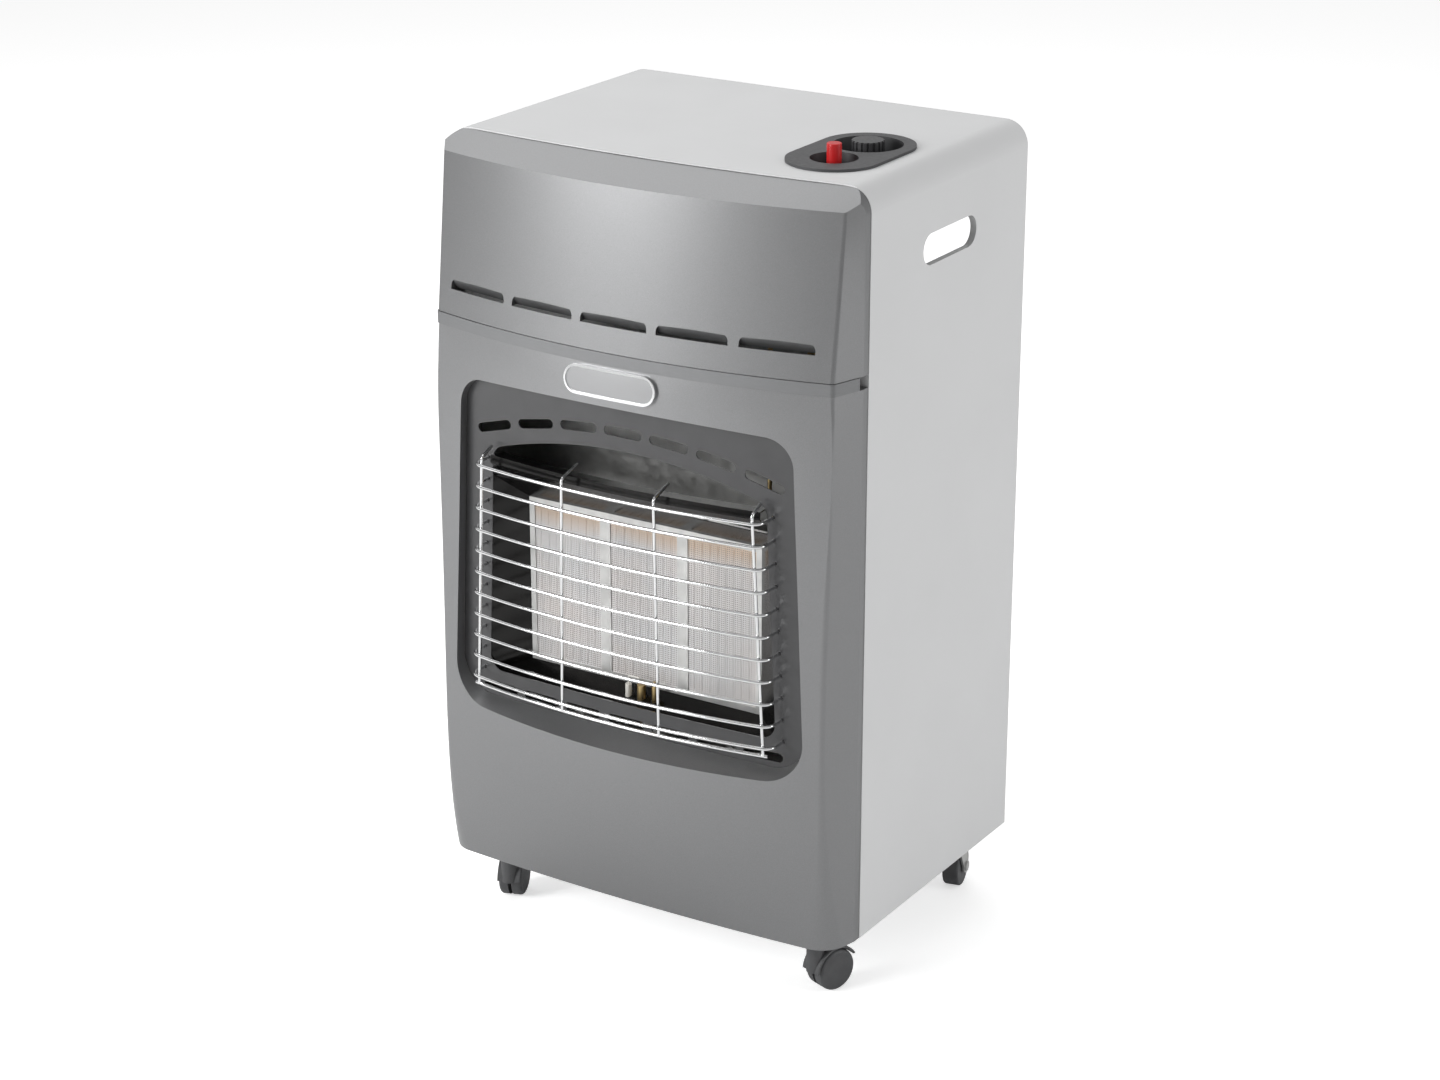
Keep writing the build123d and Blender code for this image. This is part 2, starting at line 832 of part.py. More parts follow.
def side_section(points, x0, x1):
    """A solid whose section in the YZ plane runs through the given points."""
    outline = make_face(Polyline(*[(x0, y, z) for y, z in points], close=True).edges())
    return extrude(outline, amount=x1 - x0, dir=(1, 0, 0))


def liner_edge(y, edge_front, edge_rear):
    """Where a liner wall is at one depth, given its front and rear edges."""
    share = (y - liner_front) / (frame_front - liner_front)
    return edge_front + share * (edge_rear - edge_front)


def make_visor():
    lip_y = front_edge - visor_lip_depth
    rear_y = liner_front + visor_tab_run
    rear_z = liner_front_top + 2 * visor_sheet
    profile = [
        (rear_y, rear_z), (lip_y + visor_lip_run, visor_crest_z - 2 * visor_fold),
        (lip_y, visor_crest_z - visor_fold), (lip_y + 1, visor_crest_z),
        (lip_y + visor_back_run, visor_crest_z - visor_sheet),
    ]
    outline = make_face(Polyline(*[(0, y, z) for y, z in folded(profile, -visor_sheet)], close=True).edges())
    axis = Axis((0, lip_y + guard_arc_radius, 0), (0, 0, 1))
    half_angle = math.degrees(math.asin(visor_half / guard_arc_radius))
    start = outline.rotate(axis, -half_angle)
    visor = revolve(start, axis=axis, revolution_arc=2 * half_angle)
    tab_y = rear_y + visor_tab_run
    tab_lift = seat_gap * 1.5
    tab = [
        (rear_y, rear_z + 1), (rear_y, liner_edge(rear_y, liner_front_top, frame_top) + tab_lift),
        (tab_y, liner_edge(tab_y, liner_front_top, frame_top) + tab_lift),
    ]
    for side in (-1, 1):
        x = side * visor_tab_half_spacing
        visor += side_section(folded(tab, visor_sheet), x - visor_tab_run, x + visor_tab_run)
    return visor


save("visor", make_visor())


# Firebox liner: a bright funnel between the surround and the burners
def funnel(grow, front_y, rear_y):
    """A funnel narrowing from the fire's window to the burner frame."""
    sections = []
    for y in (front_y, rear_y):
        half_top = liner_edge(y, liner_half_top, frame_half) + grow
        half_bottom = liner_edge(y, liner_half_bottom, frame_half) + grow
        top = liner_edge(y, liner_front_top, frame_top) + grow
        bottom = liner_edge(y, liner_front_bottom, frame_bottom) - grow
        corners = [
            (-half_bottom, y, bottom), (half_bottom, y, bottom), (half_top, y, top), (-half_top, y, top),
        ]
        sections.append(make_face(Polyline(*corners, close=True).edges()))
    return loft(sections, ruled=True)


def make_liner():
    liner = funnel(0, liner_front, frame_front) - funnel(-liner_sheet, liner_front - 1, frame_front + 1)
    for x, radius in pilot_rods():
        foot = (x, pilot_y, liner_front_bottom)
        liner -= rod(foot, (x, pilot_y, pilot_top), radius + pilot_hole_clearance)
    return liner


def pilot_rods():
    """Place across and radius of the electrode, the pilot burner and the thermocouple."""
    return (
        (pilot_x - electrode_spacing, electrode_radius),
        (pilot_x, pilot_radius),
        (pilot_x + electrode_spacing, thermocouple_radius),
    )


save("firebox_liner", make_liner())


# Burners: three ceramic plaques in pressed trays, each with its own mixing tube
def plaque_places():
    for index, name in enumerate(("left", "centre", "right")):
        yield name, (index - (plaque_count - 1) / 2) * plaque_pitch


def make_plaque(x):
    half = plaque_width / 2
    plaque_back = plaque_front + plaque_thickness
    plaque = block(x - half, x + half, plaque_front, plaque_back, plaque_bottom, plaque_top)
    for index in range(plaque_groove_count):
        groove_x = x + (index + 1) / (plaque_groove_count + 1) * plaque_width - half
        half_groove = plaque_groove / 2
        plaque -= block(
            groove_x - half_groove, groove_x + half_groove, plaque_front - 1, plaque_front + half_groove,
            plaque_bottom + frame_rim, plaque_top - frame_rim,
        )
    return plaque


def make_burner(x):
    pocket = plaque_width / 2 + burner_fit
    half = pocket + burner_wall
    low, high = plaque_bottom - burner_fit, plaque_top + burner_fit
    tray = block(x - half, x + half, plaque_front, burner_back, low - burner_wall, high + burner_wall)
    seat_y = plaque_front + plaque_thickness
    tray -= block(x - pocket, x + pocket, plaque_front - 1, seat_y, low, high)
    room = pocket - burner_ledge
    room_low, room_high = low + burner_ledge, high - burner_ledge
    tray -= block(x - room, x + room, seat_y - 1, burner_back - burner_wall, room_low, room_high)
    tray_foot = low - burner_wall
    mouth = tray_foot - venturi_length
    foot, bell_end = (x, venturi_y, mouth), (x, venturi_y, mouth + venturi_bell)
    tray += rod(foot, (x, venturi_y, tray_foot), venturi_radius)
    tray += taper(foot, bell_end, venturi_radius + venturi_flare, venturi_radius)
    tray -= rod((x, venturi_y, mouth - 1), (x, venturi_y, room_low + 1), venturi_bore)
    return tray - taper(foot, bell_end, venturi_bore + venturi_flare, venturi_bore)


def make_frame():
    frame = block(-frame_half, frame_half, frame_front, plaque_front, frame_bottom, frame_top)
    for name, x in plaque_places():
        half = plaque_width / 2 - frame_overlap
        frame -= block(
            x - half, x + half, frame_front - 1, plaque_front + 1,
            plaque_bottom + frame_overlap, plaque_top - frame_overlap,
        )
    return frame


save("plaque_frame", make_frame())
for place, place_x in plaque_places():
    save(f"ceramic_plaque_{place}", make_plaque(place_x))
    save(f"burner_{place}", make_burner(place_x))


# Injector rail: a gas pipe under the burners with one jet below each mixing tube
def make_rail():
    ends = (-rail_half_length, venturi_y, rail_z), (rail_half_length, venturi_y, rail_z)
    rail = rod(*ends, rail_radius)
    for name, x in plaque_places():
        rail += rod((x, venturi_y, rail_z), (x, venturi_y, rail_boss_top), rail_radius)
        rail -= rod((x, venturi_y, rail_z), (x, venturi_y, rail_boss_top + 1), jet_orifice * 2)
    return rail - rod((-rail_half_length + rail_radius, venturi_y, rail_z), ends[1], rail_bore)


def hexagon(x, y, z0, z1, flats):
    """An upright hexagonal bar with the given distance across its flats."""
    plan = Plane.XY.offset(z0) * Pos(x, y) * RegularPolygon(flats / 2, 6, major_radius=False)
    return extrude(plan, z1 - z0)


def make_jets():
    jets = []
    for name, x in plaque_places():
        shoulder = rail_boss_top + jet_height / 2
        jet = hexagon(x, venturi_y, rail_boss_top, shoulder, jet_flats)
        tip = rail_boss_top + jet_height
        jet += taper((x, venturi_y, shoulder), (x, venturi_y, tip), jet_flats / 2 - 1, jet_flats / 4)
        jets.append(jet - rod((x, venturi_y, rail_boss_top - 1), (x, venturi_y, tip + 1), jet_orifice))
    return Compound(jets)


def make_rail_bracket(side):
    x = side * rail_bracket_half_spacing
    strap = [
        (shield_front, rail_z - rail_radius - bracket_drop), (shield_front, rail_z - rail_radius),
        (venturi_y - rail_radius, rail_z - rail_radius),
    ]
    half = rail_bracket_width / 2
    return side_section(folded(strap, bracket_sheet), x - half, x + half)


save("injector_rail", make_rail())
save("injector_jets", make_jets())
for side, side_name in ((-1, "left"), (1, "right")):
    save(f"rail_bracket_{side_name}", make_rail_bracket(side))


# Heat shield between the burners and the bottle bay, and the rails that carry the burners
def make_shield():
    back = shield_front + shield_sheet
    shield = block(-inner_half, inner_half, shield_front, back, shield_bottom, shield_top)
    for side in (-1, 1):
        edge = sorted((side * inner_half, side * (inner_half - shield_sheet)))
        shield += block(*edge, back - shield_flange, back, shield_bottom, shield_top)
    return shield


def make_burner_rail(middle_z):
    half = plaque_pitch + plaque_width / 2 + burner_rail_end
    low, high = middle_z - burner_rail_height / 2, middle_z + burner_rail_height / 2
    rail = block(-half, half, burner_back, shield_front, low, high)
    hollow_back = shield_front - bracket_sheet
    return rail - block(
        -half - 1, half + 1, burner_back - 1, hollow_back, low + bracket_sheet, high - bracket_sheet
    )


save("heat_shield", make_shield())
save("burner_rail_upper", make_burner_rail(plaque_top - burner_rail_margin))
save("burner_rail_lower", make_burner_rail(plaque_bottom + burner_rail_margin))


# Gas valve under the control recess, with its pipes
def valve_block():
    half = valve_width / 2
    front, rear = recess_rear_y - valve_length / 2, recess_rear_y + valve_length / 2
    body = block(recess_x - half, recess_x + half, front, rear, valve_top - valve_height, valve_top)
    return fillet(body.edges().filter_by(Axis.Z), valve_corner)


def make_valve():
    body = valve_block()
    body -= rod((*knob_axis, spindle_seat - knob_push - 1), (*knob_axis, valve_top + 1),
                spindle_radius + spindle_fit)
    plunger_end = spindle_seat - plunger_length - knob_push - 1
    body -= rod((*knob_axis, plunger_end), (*knob_axis, spindle_seat),
                plunger_radius + spindle_fit)
    outlets = (
        (supply_pipe_x, supply_pipe_z, pipe_radius), (pilot_pipe_x, pilot_pipe_z, pilot_pipe_radius),
    )
    for x, z, radius in outlets:
        start = (x, valve_front - valve_boss_length, z)
        body += rod(start, (x, valve_front + 1, z), radius + valve_boss_wall)
    return body


def make_bracket():
    top = valve_top + bracket_sheet
    low_x = recess_x - valve_width / 2
    bracket = block(low_x, inner_half, bracket_front_y, bracket_rear_y, valve_top, top)
    bracket += block(inner_half - bracket_sheet, inner_half, bracket_front_y, bracket_rear_y, valve_top,
                     valve_top + bracket_flange)
    return bracket - rod((*knob_axis, valve_top - 1), (*knob_axis, top + 1),
                         spindle_radius + bracket_hole_clearance)


def make_spindle():
    spindle = rod((*knob_axis, spindle_seat), (*knob_axis, spindle_top), spindle_radius)
    flat_x = recess_x + spindle_radius - spindle_flat
    return spindle - block(flat_x, recess_x + spindle_radius + 1, recess_rear_y - spindle_radius,
                           recess_rear_y + spindle_radius, knob_bottom - 1, spindle_top + 1)


def make_knob():
    knob = rod((*knob_axis, knob_bottom), (*knob_axis, knob_top), knob_radius)
    knob = chamfer(knob.edges().group_by(Axis.Z)[-1], knob_edge)
    for index in range(knob_flute_count):
        angle = 2 * math.pi * index / knob_flute_count
        x = recess_x + knob_radius * math.cos(angle)
        y = recess_rear_y + knob_radius * math.sin(angle)
        knob -= rod((x, y, knob_bottom - 1), (x, y, knob_top + 1), knob_flute_radius)
    bore_radius = spindle_radius + knob_fit
    bore = rod((*knob_axis, knob_bottom - 1), (*knob_axis, spindle_top + knob_fit),
               bore_radius)
    flat_x = recess_x + spindle_radius - spindle_flat + knob_fit
    bore -= block(flat_x, recess_x + knob_radius, recess_rear_y - knob_radius, recess_rear_y + knob_radius,
                  knob_bottom - 2, knob_top)
    return knob - bore


def make_inlet():
    start = (recess_x, valve_rear, inlet_z)
    end = (recess_x, valve_rear + inlet_length, inlet_z)
    inlet = rod(start, end, inlet_radius)
    inlet += rod(start, (recess_x, valve_rear + inlet_collar, inlet_z), inlet_radius + inlet_collar / 2)
    return inlet - rod(start, (recess_x, valve_rear + inlet_length + 1, inlet_z), inlet_radius / 2)


def make_supply_pipe():
    path = FilletPolyline(
        (supply_pipe_x, valve_front - valve_boss_length, supply_pipe_z),
        (supply_pipe_x, venturi_y, supply_pipe_z), (supply_pipe_x, venturi_y, rail_z),
        (rail_half_length, venturi_y, rail_z), radius=pipe_bend,
    )
    return rod_along(path, pipe_radius)


def make_pilot_pipe():
    path = FilletPolyline(
        (pilot_pipe_x, valve_front - valve_boss_length, pilot_pipe_z),
        (pilot_pipe_x, pilot_pipe_y, pilot_pipe_z), (pilot_pipe_x, pilot_pipe_y, pilot_low_z),
        (pilot_x, pilot_pipe_y, pilot_low_z), (pilot_x, pilot_y, pilot_low_z),
        (pilot_x, pilot_y, pilot_plate_z), radius=pilot_pipe_bend,
    )
    return rod_along(path, pilot_pipe_radius)


save("gas_valve", make_valve())
save("valve_bracket", make_bracket())
save("valve_spindle", make_spindle())
save("valve_plunger", rod(
    (*knob_axis, spindle_seat - plunger_length), (*knob_axis, spindle_seat), plunger_radius
))
save("control_knob", make_knob())
save("gas_inlet", make_inlet())
save("supply_pipe", make_supply_pipe())
save("pilot_pipe", make_pilot_pipe())


# Pilot burner with its spark electrode and flame sensor, standing in the firebox floor
def make_pilot():
    reach = electrode_spacing + pilot_plate_margin
    plate_end = pilot_plate_z + bracket_sheet
    front, rear = pilot_y - pilot_plate_margin, pilot_y + pilot_plate_margin
    pilot = block(pilot_x - reach, pilot_x + reach, front, rear, pilot_plate_z, plate_end)
    pilot += rod((pilot_x, pilot_y, pilot_plate_z), (pilot_x, pilot_y, pilot_top), pilot_radius)
    bore_end = (pilot_x, pilot_y, pilot_top - spark_bend)
    pilot -= rod((pilot_x, pilot_y, pilot_plate_z - 1), bore_end, pilot_radius / 2)
    port_top = pilot_top - pilot_port_top
    port_rear = pilot_y + pilot_radius + 1
    pilot -= block(pilot_x - 1, pilot_x + 1, pilot_y, port_rear, port_top - pilot_port_height, port_top)
    for x, radius in (pilot_rods()[0], pilot_rods()[2]):
        foot = (x, pilot_y, pilot_plate_z - 1)
        pilot -= rod(foot, (x, pilot_y, plate_end + 1), radius + spindle_fit)
    return pilot


def make_electrode():
    x, radius = pilot_rods()[0]
    start = (x, pilot_y, pilot_plate_z - electrode_below)
    electrode = rod(start, (x, pilot_y, pilot_top - spark_bend), radius)
    tip = FilletPolyline(
        (x, pilot_y, pilot_top - pilot_port_top), (x, pilot_y, pilot_top + spark_gap),
        (pilot_x - spark_bend, pilot_y, pilot_top + spark_gap), radius=spark_bend,
    )
    return electrode + rod_along(tip, electrode_tip_radius)


def make_thermocouple():
    x, radius = pilot_rods()[2]
    start = (x, pilot_y, pilot_plate_z - electrode_below)
    shoulder = (x, pilot_y, pilot_top + spark_bend)
    return rod(start, shoulder, radius) + rod(shoulder, (x, pilot_y, pilot_top + spark_gap), radius / 2)


save("pilot_burner", make_pilot())
save("spark_electrode", make_electrode())
save("thermocouple", make_thermocouple())


# Control recess in the top, with the igniter and its button
def make_recess():
    places = (*button_axis, recess_rear_y)
    recess = upright_stadium(*places, recess_radius, cabinet_top, plate_top)
    body_radius = recess_cut_radius - recess_cut_clearance
    recess += upright_stadium(*places, body_radius, cabinet_top - 2 * recess_wall, cabinet_top)
    wells = (
        (recess_front_y, button_well_radius, button_floor, igniter_radius + bracket_hole_clearance / 4),
        (recess_rear_y, knob_well_radius, knob_floor, spindle_radius + bracket_hole_clearance),
    )
    for y, radius, floor, hole in wells:
        recess += rod((recess_x, y, floor - recess_wall), (recess_x, y, cabinet_top), radius + recess_wall)
    for y, radius, floor, hole in wells:
        recess -= rod((recess_x, y, floor), (recess_x, y, plate_top + 1), radius)
        recess -= rod((recess_x, y, floor - recess_wall - 1), (recess_x, y, floor + 1), hole)
    return recess


def make_igniter():
    flange_top = button_floor + igniter_flange
    low = flange_top - igniter_length
    body = rod((*button_axis, low), (*button_axis, flange_top), igniter_radius)
    body += rod((*button_axis, button_floor), (*button_axis, flange_top),
                igniter_flange_radius)
    return body - rod((*button_axis, button_bottom - button_travel - 1),
                      (*button_axis, flange_top + 1), button_radius + button_fit)


def make_igniter_nut():
    floor_under = button_floor - recess_wall
    nut = hexagon(*button_axis, floor_under - nut_height, floor_under, nut_flats)
    return nut - rod((*button_axis, floor_under - nut_height - 1),
                     (*button_axis, floor_under + 1), igniter_radius + knob_fit)


def make_button():
    button = rod((*button_axis, button_bottom), (*button_axis, button_top), button_radius)
    return fillet(button.edges().group_by(Axis.Z)[-1], button_edge)


save("control_recess", make_recess())
save("igniter_body", make_igniter())
save("igniter_nut", make_igniter_nut())
save("igniter_button", make_button())


# Base tray: the bottle's platform, with bosses for the front casters
def rear_caster_screws():
    """Where the rear casters' plates are screwed to the tray."""
    reach_x = caster_plate_length / 2 - caster_screw_inset
    reach_y = caster_plate_width / 2 - caster_screw_inset
    for side in (-1, 1):
        for dx in (-reach_x, reach_x):
            for dy in (-reach_y, reach_y):
                yield side * rear_caster_x + dx, rear_caster_y + dy


def make_tray():
    floor = cabinet_bottom + tray_sheet
    inside_rear = rear_edge - sheet
    tray = block(-inner_half, inner_half, front_edge + sheet, inside_rear, cabinet_bottom, floor)
    front_lip = front_edge - tray_front_reach
    tray += block(-tray_front_half, tray_front_half, front_lip, 0, cabinet_bottom, floor)
    wall_top = cabinet_bottom + tray_wall_height
    for side in (-1, 1):
        edge = sorted((side * inner_half, side * (inner_half - tray_sheet)))
        tray += block(*edge, front_edge + sheet, inside_rear, cabinet_bottom, wall_top)
        rib = side * tray_rib_half_spacing
        half_rib = tray_rib_width / 2
        rib_front, rib_rear = shield_front + tray_rib_width, rear_edge - tray_rib_width
        tray += block(rib - half_rib, rib + half_rib, rib_front, rib_rear, floor, floor + tray_rib_height)
    lip_top = cover_bottom + cover_rim
    tray += block(-inner_half, inner_half, inside_rear - tray_sheet, inside_rear, cabinet_bottom, lip_top)
    for side in (-1, 1):
        x = side * front_caster_x
        boss_top = cabinet_bottom + stem_boss_height
        tray += rod((x, front_caster_y, cabinet_bottom), (x, front_caster_y, boss_top), stem_boss_radius)
        tray -= rod((x, front_caster_y, 0), (x, front_caster_y, cabinet_top), stem_radius + knob_fit)
        tray -= tab_slot(side, cover_bottom + cover_rim / 2)
    for x, y in rear_caster_screws():
        tray -= rod((x, y, 0), (x, y, cabinet_top), caster_screw_radius + screw_fit)
    return tray


def tab(side, z, grow, y0, y1):
    """One of the rear cover's tabs, or the slot for it."""
    half = tab_width / 2 + grow
    half_sheet = tab_thickness / 2 + grow
    x = side * tab_half_spacing
    return block(x - half, x + half, y0, y1, z - half_sheet, z + half_sheet)


def tab_slot(side, z):
    return tab(side, z, tab_clearance, rear_edge - tab_length - sheet, rear_edge + 1)


def make_rear_rail():
    back = rear_edge - sheet
    low = rear_rail_top - rear_rail_height
    rail = block(-inner_half, inner_half, back - rear_rail_depth, back, low, rear_rail_top)
    rail -= block(-inner_half - 1, inner_half + 1, back - rear_rail_depth - 1, back - tray_sheet,
                  low + tray_sheet, rear_rail_top - tray_sheet)
    for side in (-1, 1):
        rail -= tab_slot(side, cover_top - cover_rim / 2)
    return rail


save("base_tray", make_tray())
save("rear_rail", make_rear_rail())


# Rear cover: a bulged sheet held by four straight tabs, pulled off towards the rear
def cover_dome(inset):
    """The cover's bulge as a solid, drawn in by a wall."""
    start = rear_edge + cover_gap
    middle_z = (cover_bottom + cover_top) / 2
    sections = []
    crest = start + cover_sheet + cover_bulge - inset
    for y, margin in ((start, cover_rim), (crest, cover_rim + cover_slope)):
        width = 2 * (cover_half - margin - inset)
        height = cover_top - cover_bottom - 2 * (margin + inset)
        plane = Plane((0, y, middle_z), x_dir=(1, 0, 0), z_dir=(0, 1, 0))
        sections.append(plane * RectangleRounded(width, height, cover_corner))
    return loft(sections, ruled=True)


def make_cover():
    start = rear_edge + cover_gap
    middle_z = (cover_bottom + cover_top) / 2
    plane = Plane((0, start, middle_z), x_dir=(1, 0, 0), z_dir=(0, 1, 0))
    outline = RectangleRounded(2 * cover_half, cover_top - cover_bottom, cover_corner)
    rim = extrude(plane * outline, cover_sheet)
    cover = rim + cover_dome(0)
    cover -= cover_dome(cover_sheet)
    for side in (-1, 1):
        for z in (cover_bottom + cover_rim / 2, cover_top - cover_rim / 2):
            cover += tab(side, z, 0, rear_edge - tab_length, start + cover_sheet)
    for z in cover_vent_rows:
        for index in range(cover_vent_count):
            x = (index - (cover_vent_count - 1) / 2) * cover_vent_pitch
            plane = Plane((x, rear_edge + cover_slope / 2, z), x_dir=(1, 0, 0), z_dir=(0, 1, 0))
            cover -= extrude(plane * SlotOverall(cover_vent_length, cover_vent_height), cover_bulge)
    return cover


save("rear_cover", make_cover())


# Front casters: twin wheels under a hood that swivels on a fixed stem
def placed(side, x, y, yaw):
    """A caster's own frame: X along its axle, Y towards its trailing wheel."""
    return Pos(side * x, y, 0) * Rot(0, 0, side * yaw)


def make_hood():
    clear = hood_radius - hood_wall
    half = front_hood_width / 2
    hood = rod((-half, front_trail, wheel_radius), (half, front_trail, wheel_radius), hood_radius)
    hood += rod((0, 0, wheel_radius), (0, 0, hood_top), hood_tower_radius)
    outline = [
        (-hood_radius, hood_nose_z), (hood_radius + front_trail, hood_tail_z),
        (hood_radius + front_trail, hood_top + 1), (-hood_radius, hood_top + 1),
    ]
    hood = hood & side_section(outline, -2 * half, 2 * half)
    half_web = hood_web / 2
    for side in (-1, 1):
        start = (side * half_web, front_trail, wheel_radius)
        hood -= rod(start, (side * 2 * half, front_trail, wheel_radius), clear)
    hub = rod((-half_web, front_trail, wheel_radius), (half_web, front_trail, wheel_radius), axle_radius * 2)
    neck = block(-half_web, half_web, 0, front_trail, wheel_radius, hood_nose_z + hood_radius)
    hood = hood + hub + neck
    hood -= rod((-half, front_trail, wheel_radius), (half, front_trail, wheel_radius), axle_radius + knob_fit)
    return hood - rod((0, 0, stem_bottom - stem_collar_gap), (0, 0, hood_top + 1), stem_radius + stem_fit)


def make_front_wheel(side):
    inner = hood_web / 2 + front_wheel_gap
    outer = inner + front_wheel_width
    centre = (front_trail, wheel_radius)
    wheel = rod((side * inner, *centre), (side * outer, *centre), wheel_radius)
    rims = wheel.edges().filter_by(GeomType.CIRCLE).sort_by(Axis.X)
    wheel = fillet([rims[-1] if side > 0 else rims[0]], wheel_edge)
    return wheel - rod((side * (inner - 1), *centre), (side * (front_axle_half + axle_fit * 4), *centre),
                       axle_radius + axle_fit)


def make_stem():
    stem = rod((0, 0, stem_bottom), (0, 0, cabinet_bottom + stem_boss_height), stem_radius)
    return stem + rod((0, 0, hood_top + stem_collar_gap), (0, 0, cabinet_bottom), stem_radius + stem_collar)


for side, side_name in ((-1, "left"), (1, "right")):
    here = placed(side, front_caster_x, front_caster_y, front_caster_yaw)
    axle_end = (front_axle_half, front_trail, wheel_radius)
    save(f"front_caster_{side_name}_stem", here * make_stem())
    save(f"front_caster_{side_name}_hood", here * make_hood())
    save(f"front_caster_{side_name}_axle", here * rod((-axle_end[0], *axle_end[1:]), axle_end, axle_radius))
    save(f"front_caster_{side_name}_wheel_outer", here * make_front_wheel(side))
    save(f"front_caster_{side_name}_wheel_inner", here * make_front_wheel(-side))


# Rear casters: one wheel in a pressed fork that swivels under a screwed plate
def make_caster_plate():
    low = cabinet_bottom - caster_plate_thickness
    half_length, half_width_y = caster_plate_length / 2, caster_plate_width / 2
    plate = block(-half_length, half_length, -half_width_y, half_width_y, low, cabinet_bottom)
    plate = fillet(plate.edges().filter_by(Axis.Z), caster_screw_inset / 2)
    plate += rod((0, 0, low), (0, 0, fork_top - 2 * fork_sheet), stem_radius)
    collar_top = fork_top - fork_sheet - swivel_collar_gap
    plate += rod((0, 0, fork_top - 3 * fork_sheet), (0, 0, collar_top), stem_radius + swivel_collar)
    reach_x = half_length - caster_screw_inset
    reach_y = half_width_y - caster_screw_inset
    for dx in (-reach_x, reach_x):
        for dy in (-reach_y, reach_y):
            plate -= rod((dx, dy, 0), (dx, dy, cabinet_top), caster_screw_radius + screw_fit)
    return plate


def make_fork():
    inner = rear_wheel_width / 2 + fork_side_gap
    outer = inner + fork_sheet
    leg_radius = axle_radius + fork_leg_margin
    fork = block(-outer, outer, -fork_top_reach, fork_top_reach, fork_top - fork_sheet, fork_top)
    for side in (-1, 1):
        edge = sorted((side * inner, side * outer))
        leg = [
            (-fork_top_reach, fork_top), (-fork_top_reach, fork_top - 3 * fork_sheet),
            (rear_trail - leg_radius, wheel_radius), (rear_trail + leg_radius, wheel_radius),
            (fork_top_reach, fork_top),
        ]
        fork += side_section(leg, *edge)
        start, end = (edge[0], rear_trail, wheel_radius), (edge[1], rear_trail, wheel_radius)
        fork += rod(start, end, leg_radius)
    bore = (-outer - 1, rear_trail, wheel_radius), (outer + 1, rear_trail, wheel_radius)
    fork -= rod(*bore, axle_radius + knob_fit)
    return fork - rod((0, 0, wheel_radius), (0, 0, cabinet_bottom), stem_radius + stem_fit)


def make_rear_wheel():
    half = rear_wheel_width / 2
    wheel = rod((-half, rear_trail, wheel_radius), (half, rear_trail, wheel_radius), wheel_radius)
    wheel = fillet(wheel.edges().filter_by(GeomType.CIRCLE), rear_wheel_edge)
    return wheel - rod((-half - 1, rear_trail, wheel_radius), (half + 1, rear_trail, wheel_radius),
                       axle_radius + axle_fit)


def make_rear_axle():
    outer = rear_wheel_width / 2 + fork_side_gap + fork_sheet
    end = outer + axle_head
    axle = rod((-end, rear_trail, wheel_radius), (end, rear_trail, wheel_radius), axle_radius)
    for side in (-1, 1):
        start = (side * outer, rear_trail, wheel_radius)
        axle += rod(start, (side * end, rear_trail, wheel_radius), axle_radius + axle_head_margin)
    return axle


for side, side_name in ((-1, "left"), (1, "right")):
    here = placed(side, rear_caster_x, rear_caster_y, rear_caster_yaw)
    square = placed(side, rear_caster_x, rear_caster_y, 0)
    save(f"rear_caster_{side_name}_plate", square * make_caster_plate())
    save(f"rear_caster_{side_name}_fork", here * make_fork())
    save(f"rear_caster_{side_name}_axle", here * make_rear_axle())
    save(f"rear_caster_{side_name}_wheel", here * make_rear_wheel())


def make_screws():
    screws = []
    for x, y in rear_caster_screws():
        plate_low = cabinet_bottom - caster_plate_thickness
        floor = cabinet_bottom + tray_sheet
        screw = rod((x, y, plate_low), (x, y, floor + screw_nut_height), caster_screw_radius)
        head = (x, y, plate_low - screw_head_height)
        screw += rod(head, (x, y, plate_low), caster_screw_radius + screw_head_margin)
        screws.append(screw + hexagon(x, y, floor, floor + screw_nut_height, screw_flats))
    return Compound(screws)


save("caster_screws", make_screws())
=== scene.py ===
import math

import bmesh
import bpy
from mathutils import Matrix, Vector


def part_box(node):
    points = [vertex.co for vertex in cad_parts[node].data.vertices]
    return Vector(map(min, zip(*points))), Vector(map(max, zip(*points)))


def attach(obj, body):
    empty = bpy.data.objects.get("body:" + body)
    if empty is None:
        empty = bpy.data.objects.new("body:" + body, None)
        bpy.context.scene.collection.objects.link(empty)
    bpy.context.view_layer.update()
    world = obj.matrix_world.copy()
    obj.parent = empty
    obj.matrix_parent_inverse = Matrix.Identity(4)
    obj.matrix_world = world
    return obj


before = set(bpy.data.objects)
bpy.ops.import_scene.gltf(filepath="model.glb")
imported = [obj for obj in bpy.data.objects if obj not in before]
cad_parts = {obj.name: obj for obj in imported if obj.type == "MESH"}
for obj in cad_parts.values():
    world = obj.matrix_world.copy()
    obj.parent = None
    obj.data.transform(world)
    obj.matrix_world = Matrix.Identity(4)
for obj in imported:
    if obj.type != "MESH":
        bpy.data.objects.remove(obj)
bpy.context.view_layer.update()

# Cabinet: a steel sheet bent over the top and down both sides, powder-coated off-white with a
# slight orange peel. Its return flanges and the lips of the hand holes are folded from it.
class Wire:
    """A shader socket that takes part in sums; numbers go in as they are."""

    def __init__(self, finish, socket):
        self.finish = finish
        self.socket = socket

    def __add__(self, other):
        return self.finish.maths("ADD", self, other)

    def __sub__(self, other):
        return self.finish.maths("SUBTRACT", self, other)

    def __mul__(self, other):
        return self.finish.maths("MULTIPLY", self, other)


